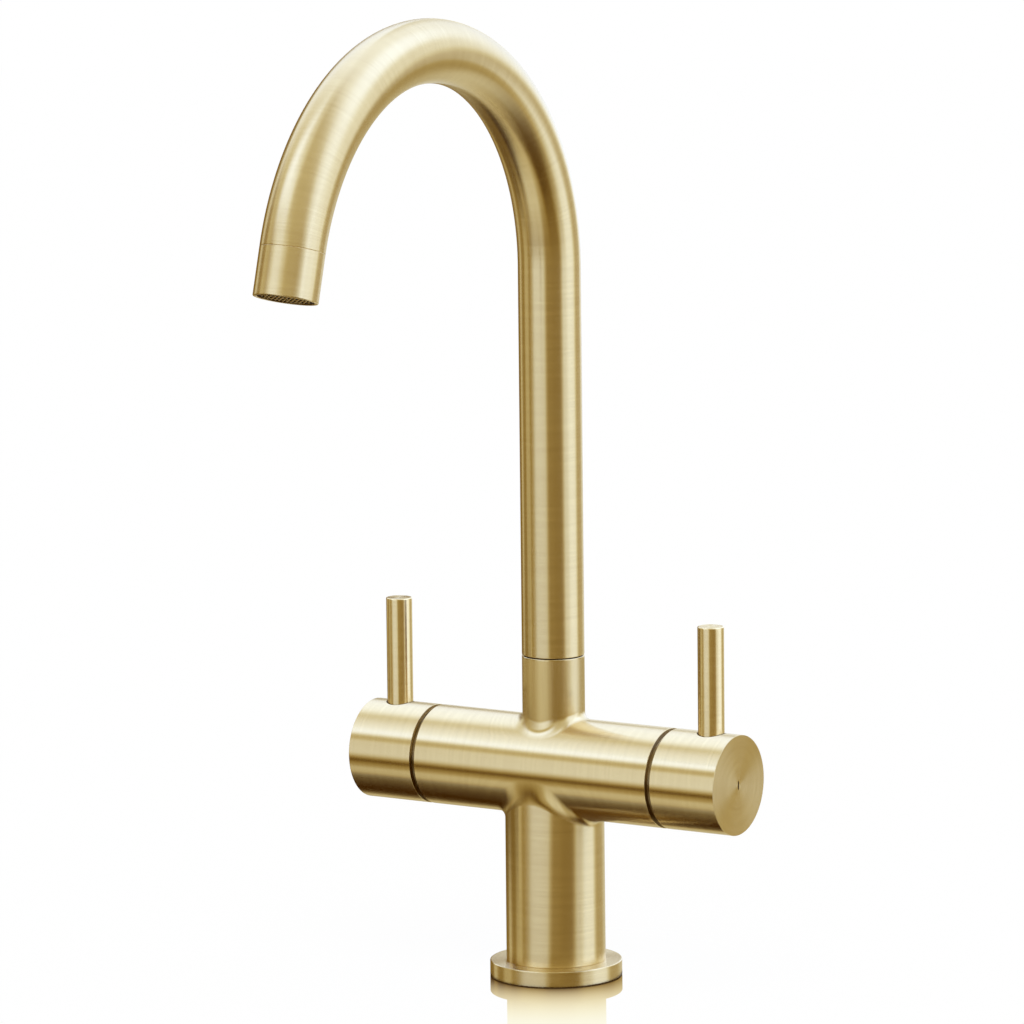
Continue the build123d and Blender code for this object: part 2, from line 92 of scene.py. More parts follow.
def make_piece(name, sheets, finish, painted_shade=None):
    """One mesh from sheets. A sheet is a grid of points with a grid of brushing coordinates: every four
    neighbours on it are a face, and the rims where sheets meet are merged. A function of the points may say
    where shade is painted on the metal, in recesses."""
    points, brushing, faces, count = [], [], [], 0
    for grid, lay in sheets:
        number = count + np.arange(grid.shape[0] * grid.shape[1]).reshape(grid.shape[:2])
        around = [number[:-1, :-1], number[:-1, 1:], number[1:, 1:], number[1:, :-1]]
        faces.append(np.stack(around, axis=-1).reshape(-1, 4))
        points.append(grid.reshape(-1, 3))
        brushing.append(lay.reshape(-1, 2))
        count += number.size
    faces = np.concatenate(faces)
    mesh = bpy.data.meshes.new(name)
    mesh.from_pydata(np.concatenate(points).tolist(), [], faces.tolist())
    mesh.uv_layers.new(name="brushing").data.foreach_set("uv", np.concatenate(brushing)[faces].ravel())
    if painted_shade:
        share = mesh.attributes.new("painted_shade", "FLOAT", "POINT")
        share.data.foreach_set("value", painted_shade(np.concatenate(points)))
    work = bmesh.new()
    work.from_mesh(mesh)
    bmesh.ops.remove_doubles(work, verts=work.verts, dist=same_place)
    bmesh.ops.recalc_face_normals(work, faces=work.faces)
    work.to_mesh(mesh)
    work.free()
    mesh.shade_smooth()
    mesh.set_sharp_from_angle(angle=crisp_angle)
    mesh.materials.append(finish)
    piece = bpy.data.objects.new(name, mesh)
    bpy.context.scene.collection.objects.link(piece)
    return piece


def link(tree, start, end):
    """Joins an output to an input."""
    tree.links.new(start, end)


def node(tree, kind, **settings):
    """Adds one shader node with the settings that are given."""
    made = tree.nodes.new("ShaderNode" + kind)
    for key, value in settings.items():
        setattr(made, key, value)
    return made


def scaled(tree, value, factor):
    """A value times a fixed factor."""
    times = node(tree, "Math", operation="MULTIPLY")
    times.inputs[1].default_value = factor
    link(tree, value, times.inputs[0])
    return times.outputs[0]


def brushed_lines(tree, fineness, reach):
    """Noise drawn out into lines that run along the turn of a sheet. It reads the way along the profile times
    the fineness, and the cosine and sine of the turn times the reach, so that no line has a seam."""
    lay = node(tree, "UVMap", uv_map="brushing")
    parts = node(tree, "SeparateXYZ")
    link(tree, lay.outputs["UV"], parts.inputs["Vector"])
    turn = scaled(tree, parts.outputs["Y"], 2 * np.pi)
    place = node(tree, "CombineXYZ")
    link(tree, scaled(tree, parts.outputs["X"], fineness), place.inputs["X"])
    for operation, side in (("COSINE", "Y"), ("SINE", "Z")):
        wave = node(tree, "Math", operation=operation)
        link(tree, turn, wave.inputs[0])
        link(tree, scaled(tree, wave.outputs[0], reach), place.inputs[side])
    noise = node(tree, "TexNoise")
    noise.inputs["Scale"].default_value = 1
    noise.inputs["Detail"].default_value = 3
    link(tree, place.outputs[0], noise.inputs["Vector"])
    return noise.outputs["Fac"]


def spread(tree, value, low, high):
    """A value between a quarter and three quarters stretched over low to high."""
    stretch = node(tree, "MapRange")
    for socket, number in (("From Min", 0.25), ("From Max", 0.75), ("To Min", low), ("To Max", high)):
        stretch.inputs[socket].default_value = number
    link(tree, value, stretch.inputs["Value"])
    return stretch.outputs["Result"]


def between(tree, value, dark, light):
    """A colour between two, by a value from nought to one."""
    blend = node(tree, "Mix", data_type="RGBA")
    blend.inputs["A"].default_value = (*dark, 1)
    blend.inputs["B"].default_value = (*light, 1)
    link(tree, value, blend.inputs["Factor"])
    return blend.outputs["Result"]


hair_fineness, hair_reach, hair_share = 2600, 0.8, 0.6
streak_fineness, streak_reach, streak_share = 420, 0.6, 0.4
plated_roughness = (0.20, 0.23)
# Painted shade in recesses: a dark brown colour and a duller gloss, where a piece's attribute asks for it.
painted_shade_roughness = 0.45
painted_shade_colour = (0.26, 0.15, 0.045)


def brushed_gold(name, dark, light):
    """Gold-plated brass, brushed round and round. The light spreads across the lines, along each profile, and
    hair-fine and broader lines vary the colour, the gloss and the surface a little. Where an attribute asks
    for painted shade, in recesses, the colour turns dark brown and the gloss duller."""
    finish = bpy.data.materials.new(name)
    finish.use_nodes = True
    tree = finish.node_tree
    metal = tree.nodes["Principled BSDF"]
    metal.inputs["Metallic"].default_value = 1
    metal.inputs["Anisotropic"].default_value = 1
    grain = node(tree, "Tangent", direction_type="UV_MAP", uv_map="brushing")
    link(tree, grain.outputs["Tangent"], metal.inputs["Tangent"])
    hairlines = brushed_lines(tree, hair_fineness, hair_reach)
    streaks = brushed_lines(tree, streak_fineness, streak_reach)
    both = node(tree, "Math", operation="MULTIPLY_ADD")
    both.inputs[1].default_value = hair_share
    link(tree, hairlines, both.inputs[0])
    link(tree, scaled(tree, streaks, streak_share), both.inputs[2])
    tint = between(tree, spread(tree, both.outputs[0], 0, 1), dark, light)
    painted_shade = node(tree, "Attribute", attribute_name="painted_shade")
    shaded_tint = node(tree, "Mix", data_type="RGBA")
    shaded_tint.inputs["B"].default_value = (*painted_shade_colour, 1)
    link(tree, tint, shaded_tint.inputs["A"])
    link(tree, painted_shade.outputs["Fac"], shaded_tint.inputs["Factor"])
    link(tree, shaded_tint.outputs["Result"], metal.inputs["Base Color"])
    gloss = node(tree, "Mix", data_type="FLOAT")
    gloss.inputs["B"].default_value = painted_shade_roughness
    link(tree, spread(tree, both.outputs[0], *plated_roughness), gloss.inputs["A"])
    link(tree, painted_shade.outputs["Fac"], gloss.inputs["Factor"])
    link(tree, gloss.outputs["Result"], metal.inputs["Roughness"])
    relief = node(tree, "Bump")
    relief.inputs["Strength"].default_value = 0.04
    relief.inputs["Distance"].default_value = 0.02 * mm
    link(tree, hairlines, relief.inputs["Height"])
    link(tree, relief.outputs["Normal"], metal.inputs["Normal"])
    return finish


gold = brushed_gold("brushed_gold", (0.755, 0.60, 0.32), (0.865, 0.71, 0.39))
flange_radius, flange_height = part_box("base_flange")[1].x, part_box("base_flange")[1].z
flange_bore = 18.05 * mm
groove_inside, groove_outside, groove_depth = 20.45 * mm, 23.55 * mm, 2 * mm
profile = rounded(
    [
        (flange_bore, flange_height / 2),
        (flange_bore, 0),
        (groove_inside, 0),
        (groove_inside, groove_depth),
        (groove_outside, groove_depth),
        (groove_outside, 0),
        (flange_radius, 0),
        (flange_radius, flange_height),
        (flange_bore, flange_height),
        (flange_bore, flange_height / 2),
    ],
    np.array([0.2, 0.1, 0, 0, 0.1, 0.4, 0.4, 0.2]) * mm,
)
flange = make_piece("turned_flange", [spin(profile)], gold)
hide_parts("base_flange")
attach(flange, "base")

# Base seal: a flat ring of black rubber in the groove under the flange, pressed on the sink. It is moulded,
# so its matt skin is even, with a fine mottle.


def mottled(name, dark, light, roughness, grain, metallic=0, shine=0.5):
    """A plain material with a mottle of a given grain: noise on the piece's own coordinates mixes two shades,
    varies the gloss by a tenth and raises a faint relief."""
    finish = bpy.data.materials.new(name)
    finish.use_nodes = True
    tree = finish.node_tree
    skin = tree.nodes["Principled BSDF"]
    skin.inputs["Metallic"].default_value = metallic
    skin.inputs["Specular IOR Level"].default_value = shine
    place = node(tree, "TexCoord")
    noise = node(tree, "TexNoise")
    noise.inputs["Scale"].default_value = 1 / grain
    noise.inputs["Detail"].default_value = 4
    link(tree, place.outputs["Object"], noise.inputs["Vector"])
    mottle = noise.outputs["Fac"]
    link(tree, between(tree, spread(tree, mottle, 0, 1), dark, light), skin.inputs["Base Color"])
    link(tree, spread(tree, mottle, 0.9 * roughness, 1.1 * roughness), skin.inputs["Roughness"])
    relief = node(tree, "Bump")
    relief.inputs["Strength"].default_value = 0.15
    relief.inputs["Distance"].default_value = 0.1 * grain
    link(tree, mottle, relief.inputs["Height"])
    link(tree, relief.outputs["Normal"], skin.inputs["Normal"])
    return finish


def give_finish(finish, *names):
    """Paints the frame's own pieces, whose shapes are right as they are."""
    for name in names:
        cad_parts[name].material_slots[0].material = finish


rubber = mottled("black_rubber", (0.016, 0.016, 0.017), (0.034, 0.034, 0.036), 0.62, 0.4 * mm)
give_finish(rubber, "base_seal")

# Body: one brass casting, machined and brushed all over. The column stands on the flange, the crossbar lies
# across it, and a short boss on top takes the spout. Every crease is blended as a ball rolling along it.
bar_height = 85 * mm
bar_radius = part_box("mixer_body")[1].y
column_radius = 19.9 * mm
boss_radius = 12.5 * mm
crease_ball = 3.0 * mm
front_depth = 12.8 * mm
front_flat = 0.9 * mm
boss_crease = 3.0 * mm
boss_front = 10 * mm
crease_reach = 8 * mm
arm_end = 54 * mm
neck_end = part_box("mixer_body")[1].x
neck_radius = 17.9 * mm
edge = 0.4 * mm
edge_lead = 1.5 * edge
joint_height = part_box("mixer_body")[1].z
foot_radius = 18 * mm
foot_height = 1 * mm
block_radius = 16.05 * mm
block_top = 13 * mm
valve_bore = 10.35 * mm
valve_seat = 30 * mm
socket_radius = 9.5 * mm
socket_floor = 104 * mm
screw_height = 119 * mm
screw_hole = 2.05 * mm
screw_floor = socket_radius + 0.1 * mm
behind = np.pi / 2
# How much painted shade lies on the necks in the handle gaps.
neck_shade_level = 0.65


def hole_turns(radius, hole):
    """Turns about a cylinder at which a drilled hole's rim is met: the hole's radius times the sine of an
    even share of its own half turn, over the cylinder's radius, is the sine of the turn."""
    return np.arcsin(hole / radius * np.sin(np.linspace(-np.pi / 2, np.pi / 2, 33)))


def hole_gap(turn, radius, hole):
    """Half the width of a drilled hole at each turn from its middle, by the circle's own equation."""
    across = radius * np.sin(turn)
    inside = np.cos(turn) > 0
    return np.sqrt(np.clip(hole**2 - across**2, 0, None)) * inside


def merged_turns(*turns):
    """All the given turns once, in order, from nought to a full turn."""
    every = np.unique(np.round(np.concatenate(turns) % (2 * np.pi), 9))
    return np.concatenate([every, [2 * np.pi]])


def rolling_ball(radius, ball, turn, up):
    """The crease between an upright cylinder and the crossbar. The ball's centre keeps the upright's radius
    plus the ball's from the upright axis, and the bar's radius plus the ball's from the bar's axis, so its
    height follows from Pythagoras. The ball touches each cylinder on the line from its centre to the axis."""
    out = radius + ball
    lift = up * np.sqrt((bar_radius + ball) ** 2 - (out * np.sin(turn)) ** 2)
    share = bar_radius / (bar_radius + ball)
    centre = np.stack([out * np.cos(turn), out * np.sin(turn), bar_height + lift], axis=-1)
    on_post = np.stack([radius * np.cos(turn), radius * np.sin(turn), bar_height + lift], axis=-1)
    on_bar = np.stack([out * np.cos(turn), share * out * np.sin(turn), bar_height + share * lift], axis=-1)
    return centre, on_post, on_bar


def crease_sheet(radius, ball, turn, up):
    """The blend itself: at each turn, the ball's touching radius on the post turned into the one on the bar.
    It is brushed like the bar, so its lay is the way along the bar and the turn about the bar's axis."""
    centre, on_post, on_bar = rolling_ball(radius, ball, turn, up)
    ball = np.broadcast_to(ball, turn.shape)[:, None]
    first, last = (on_post - centre) / ball, (on_bar - centre) / ball
    sweep = np.arccos(np.sum(first * last, axis=-1, keepdims=True))
    share = np.linspace(0, 1, 13)[:, None, None]
    turned = first * np.sin((1 - share) * sweep) + last * np.sin(share * sweep)
    grid = centre + ball * turned / np.sin(sweep)
    around = np.arctan2(grid[..., 1], up * (grid[..., 2] - bar_height)) / (2 * np.pi)
    return grid, np.stack([grid[..., 0], around], axis=-1)


# Shares of the way from one rim of a wall to the other, which lie closer together near both rims.
near_to_far = np.array([0, 0.01, 0.03, 0.06, 0.1, 0.15, 0.2, 0.3, 0.4, 0.5])
near_to_far = np.concatenate([near_to_far, 1 - near_to_far[-2::-1]])[:, None]


def wall_sheet(radius, turn, start, end, creased=False, end_radius=None):
    """A cylinder's wall about Z between two rims: at each turn, heights at fixed shares of the way from start
    to end, and a radius that may change evenly on the way. Where the first rim is a crease the brushing meets
    it square on, and further away, by a falling exponential of the way from the crease, it turns back to run
    round the cylinder."""
    height = start + near_to_far * (end - start)
    if end_radius is not None:
        radius = radius + near_to_far * (end_radius - radius)
    lean = 0
    if creased:
        lean = (start - np.min(start)) * np.exp(-np.abs(height - start) / crease_reach)
    grid = np.stack(np.broadcast_arrays(radius * np.cos(turn), radius * np.sin(turn), height), axis=-1)
    return grid, np.stack(np.broadcast_arrays(height - lean, turn / (2 * np.pi)), axis=-1)


def on_crossbar(sheet, side):
    """Lays a sheet that was made about Z on the crossbar, its nought turn on top and its end outwards."""
    grid, lay = sheet
    return np.stack([side * grid[..., 2], grid[..., 1], bar_height + grid[..., 0]], axis=-1), lay


def column_top(turn):
    """The column's radius under the bar, ground back in front and behind by the fourth power of the sine."""
    return column_radius - front_flat * np.sin(turn) ** 4


def column_ball(turn):
    """The ball under the bar grows from the sides to the front and back, where the crease is shallow and was
    ground smooth. The square of the crease's depth below the bar's axis goes evenly with the squared cosine
    of the turn, and the ball follows from that depth by solving Pythagoras for it."""
    sine, cosine = np.sin(turn) ** 2, np.cos(turn) ** 2
    side_depth = bar_radius + crease_ball
    depth = front_depth**2 + (side_depth**2 - front_depth**2) * cosine
    slope = bar_radius - column_top(turn) * sine
    rest = depth + column_top(turn) ** 2 * sine - bar_radius**2
    return rest / (slope + np.sqrt(slope**2 + cosine * rest))


def boss_ball(turn):
    """The ball round the boss grows towards front and back too, by the fourth power of the turn's sine."""
    return boss_crease + (boss_front - boss_crease) * np.sin(turn) ** 4


def upright(sheet):
    """Turns the brushing of the boss to run up and down: it reads the way round from a seam behind the boss
    first, and then the height, at so many turns to the metre."""
    seam, turns_to_metre = 0.25, 10
    grid, lay = sheet
    way = (lay[..., 1] - seam) % 1 * 2 * np.pi * boss_radius
    return grid, np.stack([way, turns_to_metre * grid[..., 2]], axis=-1)


boss_turn = merged_turns(full_turn[:-1], behind + hole_turns(boss_radius, screw_hole))
column_rim = rolling_ball(column_top(full_turn), column_ball(full_turn), full_turn, -1)[1][:, 2]
boss_rim = rolling_ball(boss_radius, boss_ball(boss_turn), boss_turn, 1)[1][:, 2]
screw_gap = hole_gap(boss_turn - behind, boss_radius, screw_hole)
foot = rounded(
    [
        (column_radius, flange_height + edge_lead),
        (column_radius, flange_height),
        (foot_radius, flange_height),
        (foot_radius, foot_height),
        (block_radius, foot_height),
        (block_radius, block_top),
        (0, block_top),
    ],
    radius=0.2 * mm,
)
top = rounded(
    [
        (boss_radius, joint_height - edge_lead),
        (boss_radius, joint_height),
        (socket_radius, joint_height),
        (socket_radius, socket_floor),
        (0, socket_floor),
    ],
    radius=0.25 * mm,
)
body_sheets = [
    crease_sheet(column_top(full_turn), column_ball(full_turn), full_turn, -1),
    crease_sheet(boss_radius, boss_ball(boss_turn), boss_turn, 1),
    wall_sheet(column_radius, full_turn, foot[0, 1], column_rim, end_radius=column_top(full_turn)),
    upright(wall_sheet(boss_radius, boss_turn, boss_rim, screw_height - screw_gap)),
    upright(wall_sheet(boss_radius, boss_turn, screw_height + screw_gap, top[0, 1])),
    spin(foot),
    spin(top, boss_turn),
]


def drilled(hole, turn, depth, surface):
    """A drilled hole about Z: its rim lies on a given surface height, and its wall goes to a flat floor."""
    radius = np.array([1, 1, 0])[:, None] * hole
    height = np.stack([surface, np.full_like(turn, depth), np.full_like(turn, depth)])
    grid = np.stack([radius * np.cos(turn), radius * np.sin(turn), height], axis=-1)
    return grid, np.stack(np.broadcast_arrays(height, turn / (2 * np.pi)), axis=-1)


hole_turn = np.linspace(0, 2 * np.pi, 65)
rim = np.sqrt(boss_radius**2 - (screw_hole * np.sin(hole_turn)) ** 2)
grid, lay = drilled(screw_hole, hole_turn, screw_floor, rim)
body_sheets.append((np.stack([grid[..., 1], grid[..., 2], screw_height + grid[..., 0]], axis=-1), lay))

upper = np.sort(np.where(boss_turn > np.pi, boss_turn - 2 * np.pi, boss_turn))
upper = np.unique(np.round(upper[np.abs(upper) < np.pi / 2 + 1e-6], 9))
lower = np.linspace(-np.pi / 2, np.pi / 2, 97)
upper_ball = boss_ball(upper)
upper_reach = (boss_radius + upper_ball) / (bar_radius + upper_ball)
lower_ball = column_ball(lower)
lower_reach = (column_top(lower) + lower_ball) / (bar_radius + lower_ball)
upper_angle = np.arcsin(upper_reach * np.sin(upper))
lower_angle = np.pi - np.arcsin(lower_reach * np.sin(lower))[::-1]
flank = np.linspace(upper_angle[-1], lower_angle[0], 40)[1:-1]
far_flank = 2 * np.pi - flank[::-1]
bar_turn = np.concatenate([upper_angle, flank, lower_angle, far_flank, upper_angle[:1] + 2 * np.pi])
bar_start = np.concatenate(
    [
        (boss_radius + upper_ball) * np.cos(upper),
        0 * flank,
        ((column_top(lower) + lower_ball) * np.cos(lower))[::-1],
        0 * far_flank,
        (boss_radius + upper_ball[:1]) * np.cos(upper[:1]),
    ]
)
arm = rounded(
    [
        (bar_radius, arm_end - edge_lead),
        (bar_radius, arm_end),
        (neck_radius, arm_end),
        (neck_radius, neck_end),
        (valve_bore, neck_end),
        (valve_bore, valve_seat),
        (0, valve_seat),
    ],
    radius=0.25 * mm,
)
for side in (-1, 1):
    arm_wall = wall_sheet(bar_radius, bar_turn, bar_start, arm[0, 1], creased=True)
    body_sheets.append(on_crossbar(arm_wall, side))
    body_sheets.append(on_crossbar(spin(arm, bar_turn), side))


def shade_in_handle_gaps(point):
    """How much shade is painted: a fixed share on the necks that the handles turn round, in the gaps past the
    arm's end and under the bar's surface, and nought elsewhere."""
    x, y, z = point.T
    below = bar_radius - np.hypot(y, z - bar_height)
    return neck_shade_level * ((below > 0.5 * edge) & (np.abs(x) > arm_end - 0.1 * edge))


body = make_piece("cast_body", body_sheets, gold, shade_in_handle_gaps)
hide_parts("mixer_body")
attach(body, "base")

# Inlet block and valves: turned and milled from plain brass. The block closes the foot of the body. Each
# valve is a gland that holds a spindle by a spring clip, sealed by rubber and fibre rings, and the spindle
# turns one ceramic disc on another.
brass = mottled("plain_brass", (0.62, 0.45, 0.19), (0.74, 0.56, 0.26), 0.32, 0.5 * mm, metallic=1)
steel = mottled("stainless_steel", (0.50, 0.49, 0.47), (0.62, 0.61, 0.59), 0.28, 0.4 * mm, metallic=1)
fibre = mottled("red_fibre", (0.28, 0.045, 0.03), (0.42, 0.09, 0.05), 0.8, 0.5 * mm)
ceramic = mottled("white_ceramic", (0.78, 0.77, 0.74), (0.87, 0.86, 0.84), 0.22, 0.3 * mm)
nylon = mottled("natural_plastic", (0.60, 0.57, 0.50), (0.72, 0.69, 0.62), 0.42, 0.8 * mm)
give_finish(brass, "inlet_block")
for hand in ("left", "right"):
    give_finish(brass, f"{hand}_valve_gland", f"{hand}_valve_spindle")
    give_finish(fibre, f"{hand}_gland_washer")
    give_finish(rubber, f"{hand}_seat_washer", f"{hand}_spindle_o_rings")
    give_finish(ceramic, f"{hand}_fixed_disc", f"{hand}_moving_disc")
    give_finish(steel, f"{hand}_spindle_clip")
    give_finish(nylon, f"{hand}_handle_guide_ring")

# Handles: a hollow cap turned from brass closes each end of the crossbar, and a plain brass rod screwed into
# it is the lever. Cap and lever are brushed like the body; a grub screw underneath clamps the cap, and a fine
# dark line is engraved on its end.
cap_wall = 1.8 * mm
hub_start = 66.25 * mm
hub_hole = 7.05 * mm
hub_end = 81 * mm
lever_hole = 5.7 * mm
lever_floor = 103 * mm
stud_radius = 4 * mm
stud_foot = 97 * mm
clamp_hole = 2.55 * mm
clamp_place = 73.65 * mm
clamp_floor = hub_hole + 0.2 * mm
# The levers take a lighter copy of the gold, as painted light, so that they show brighter than the body.
lever_gold_painted_light = brushed_gold("lever_gold_painted_light", (0.87, 0.70, 0.38), (0.97, 0.81, 0.46))
mark_height = 3.6 * mm
mark_width = 0.8 * mm
mark_lift = 0.02 * mm
# A dark plastic, tinted brown like gold in shade: in part its own colour, and in part painted shade for the
# joint line and the aerator's cup.
dark_plastic = mottled(
    "dark_plastic", (0.030, 0.015, 0.005), (0.055, 0.028, 0.010), 0.75, 0.5 * mm, shine=0.05
)
for side, hand in ((-1, "left"), (1, "right")):
    low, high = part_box(f"{hand}_handle_cap")
    cap_start, cap_end = sorted((abs(low.x), abs(high.x)))
    low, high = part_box(f"{hand}_lever")
    lever_radius, lever_top = high.y, high.z
    lever_place = abs(low.x + high.x) / 2
    cap_turn = merged_turns(
        full_turn[:-1], hole_turns(bar_radius, lever_hole), np.pi + hole_turns(bar_radius, clamp_hole)
    )
    # The cap's wall is two sheets. The line between them runs through the lever's seat on top and, by a
    # smooth step, through the clamping screw's hole underneath.
    below = np.clip(0.5 - np.cos(cap_turn), 0, 1)
    middle = lever_place + (clamp_place - lever_place) * below**2 * (3 - 2 * below)
    gap = hole_gap(cap_turn, bar_radius, lever_hole) + hole_gap(cap_turn - np.pi, bar_radius, clamp_hole)
    skirt = rounded(
        [
            (bar_radius, cap_start + edge_lead),
            (bar_radius, cap_start),
            (bar_radius - cap_wall, cap_start),
            (bar_radius - cap_wall, hub_start),
            (hub_hole, hub_start),
            (hub_hole, hub_end),
            (0, hub_end),
        ],
        radius=0.25 * mm,
    )
    face = rounded([(bar_radius, cap_end - edge_lead), (bar_radius, cap_end), (0, cap_end)], radius=0.35 * mm)
    rim = np.sqrt(bar_radius**2 - (lever_hole * np.sin(hole_turn)) ** 2)
    lever_seat = drilled(lever_hole, hole_turn, lever_floor - bar_height, rim)
    rim = np.sqrt(bar_radius**2 - (clamp_hole * np.sin(hole_turn)) ** 2)
    clamp_seat = drilled(clamp_hole, hole_turn, clamp_floor, rim)
    cap_sheets = [
        on_crossbar(wall_sheet(bar_radius, cap_turn, skirt[0, 1], middle - gap), side),
        on_crossbar(wall_sheet(bar_radius, cap_turn, middle + gap, face[0, 1]), side),
        on_crossbar(spin(skirt, cap_turn), side),
        on_crossbar(spin(face, cap_turn), side),
    ]
    for (grid, lay), place, up in ((lever_seat, lever_place, 1), (clamp_seat, clamp_place, -1)):
        across, out, height = np.moveaxis(grid, -1, 0)
        cap_sheets.append((np.stack([side * (place + across), out, bar_height + up * height], axis=-1), lay))

    def shade_in_lever_seat(point):
        """One on the wall of the lever's seat, where shade is painted, and nought on the rest of the cap."""
        across = np.hypot(np.abs(point[:, 0]) - lever_place, point[:, 1])
        return ((across < 1.001 * lever_hole) & (point[:, 2] > lever_floor - edge)).astype(float)

    cap = make_piece(f"{hand}_turned_cap", cap_sheets, gold, shade_in_lever_seat)
    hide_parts(f"{hand}_handle_cap")
    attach(cap, f"{hand}_handle")

    # The line narrows to its tips, by the eighth power of the way from its middle.
    cap_face = side * (cap_end + mark_lift)
    up_mark, across_mark = np.linspace(-1, 1, 17)[:, None], np.linspace(-1, 1, 5)
    narrow = mark_width / 2 * across_mark * (1 - up_mark**8)
    grid = np.stack(np.broadcast_arrays(cap_face, narrow, bar_height + mark_height / 2 * up_mark), axis=-1)
    mark = make_piece(f"{hand}_index_line", [(grid, np.zeros(grid.shape[:2] + (2,)))], dark_plastic)
    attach(mark, f"{hand}_handle")

    profile = rounded(
        [
            (0, stud_foot),
            (stud_radius, stud_foot),
            (stud_radius, lever_floor),
            (lever_radius, lever_floor),
            (lever_radius, lever_top),
            (0, lever_top),
        ],
        np.array([0.3, 0.1, 0.1, 0.45]) * mm,
    )
    grid, lay = spin(profile)
    lever = make_piece(f"{hand}_lever_rod", [(grid + (side * lever_place, 0, 0), lay)], lever_gold_painted_light)
    lever.visible_glossy = False
    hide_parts(f"{hand}_lever")
    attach(lever, f"{hand}_handle")
    give_finish(brass, f"{hand}_spline_insert")
    give_finish(steel, f"{hand}_handle_screw")

# Spout: a brass tube that rises straight and bends forward in one wide arc, brushed round and round. It turns
# on a thin plastic ring on the boss, and a threaded nipple in its far end carries the outlet collar.
spout_radius = boss_radius
spout_bore = 10.5 * mm
spout_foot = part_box("swan_neck_tube")[0].z
riser_length = 155.5 * mm
arch_radius = 92.5 * mm
arch_angle = np.radians(164)
outlet_lip = 2 * mm
spout_length = riser_length + arch_radius * arch_angle


def along_spout(sheet):
    """Carries a sheet that was made about Z along the spout: its height is the way from the spout's foot. The
    way goes up the riser, round the arc, where the bend is the way over the arc's radius, and straight on."""
    grid, lay = sheet
    sideways, outwards, way = np.moveaxis(grid, -1, 0)
    bend = np.clip((way - riser_length) / arch_radius, 0, arch_angle)
    beyond = np.clip(way - spout_length, 0, None)
    y = arch_radius * (np.cos(bend) - 1) - beyond * np.sin(bend) + outwards * np.cos(bend)
    z = np.minimum(way, riser_length) + arch_radius * np.sin(bend)
    z = z + beyond * np.cos(bend) + outwards * np.sin(bend)
    return np.stack([sideways, y, spout_foot + z], axis=-1), lay


way_round = np.linspace(riser_length, spout_length - outlet_lip, 160)
foot_end = rounded(
    [
        (spout_bore, riser_length),
        (spout_bore, 0),
        (spout_radius, 0),
        (spout_radius, riser_length),
    ],
    radius=0.25 * mm,
)
outlet_end = rounded(
    [
        (spout_radius, way_round[-1]),
        (spout_radius, spout_length),
        (spout_bore, spout_length),
        (spout_bore, way_round[-1]),
    ],
    radius=0.15 * mm,
)
tube = np.concatenate(
    [
        foot_end[:-1],
        np.stack([np.full_like(way_round, spout_radius), way_round], axis=-1),
        outlet_end[1:-1],
        np.stack([np.full_like(way_round, spout_bore), way_round[::-1]], axis=-1),
    ]
)
spout = make_piece("bent_spout", [along_spout(spin(tube))], gold)
spout.visible_glossy = False
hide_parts("swan_neck_tube")
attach(spout, "spout")

# Swivel: a plain brass spigot brazed into the spout turns in the boss on two rubber rings, and a grub screw
# behind the boss keeps it in. The plastic ring that the spout stands on shows as a thin dark line.
give_finish(brass, "spout_spigot")
give_finish(rubber, "spout_o_rings")
give_finish(steel, "spout_retaining_screw")
# The slip ring's brown tint is partly painted shade.
give_finish(dark_plastic, "spout_slip_ring")

# Outlet collar: a sleeve flush with the spout, screwed on the nipple, that holds the aerator in its mouth.
# It is turned and brushed like the spout, and only a hairline shows where the two meet.
collar_start = 0.15 * mm
collar_end = 19 * mm
collar_mouth = 11 * mm
mouth_slack = 0.05 * mm
collar_step = 9 * mm
thread_radius = 10.37 * mm
profile = rounded(
    [
        (thread_radius, collar_step / 2),
        (thread_radius, collar_start),
        (spout_radius, collar_start),
        (spout_radius, collar_end),
        (collar_mouth, collar_end),
        (collar_mouth, collar_step),
        (thread_radius, collar_step),
        (thread_radius, collar_step / 2),
    ],
    np.array([0.1, 0.08, 0.4, 0.3, 0.1, 0.1]) * mm,
)
profile[:, 1] += spout_length


def shade_in_collar_mouth(point):
    """One inside the collar's mouth, where shade is painted, by the distance from its axis and the way along
    it, and nought elsewhere."""
    forward = point[:, 1] - arch_radius * (np.cos(arch_angle) - 1)
    upward = point[:, 2] - spout_foot - riser_length - arch_radius * np.sin(arch_angle)
    outwards = forward * np.cos(arch_angle) + upward * np.sin(arch_angle)
    onwards = upward * np.cos(arch_angle) - forward * np.sin(arch_angle)
    within = np.hypot(point[:, 0], outwards) < collar_mouth + mouth_slack
    return (within & (onwards > collar_step - edge)).astype(float)


collar = make_piece("outlet_sleeve", [along_spout(spin(profile))], gold, shade_in_collar_mouth)
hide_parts("aerator_collar")
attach(collar, "spout")

# Aerator: a plastic cup pressed up into the collar on a rubber washer. Its grid of brass wires breaks up the
# water, and shows as fine stripes in the mouth of the collar.
gauze_radius = 9.2 * mm
gauze_place = collar_end - 0.5 * mm
gauze_turn = np.radians(140)
wire_pitch = 1.5 * mm
wire_radius = 0.28 * mm
wires_to_a_side = 6
cross_wires = (-4, 0, 4)


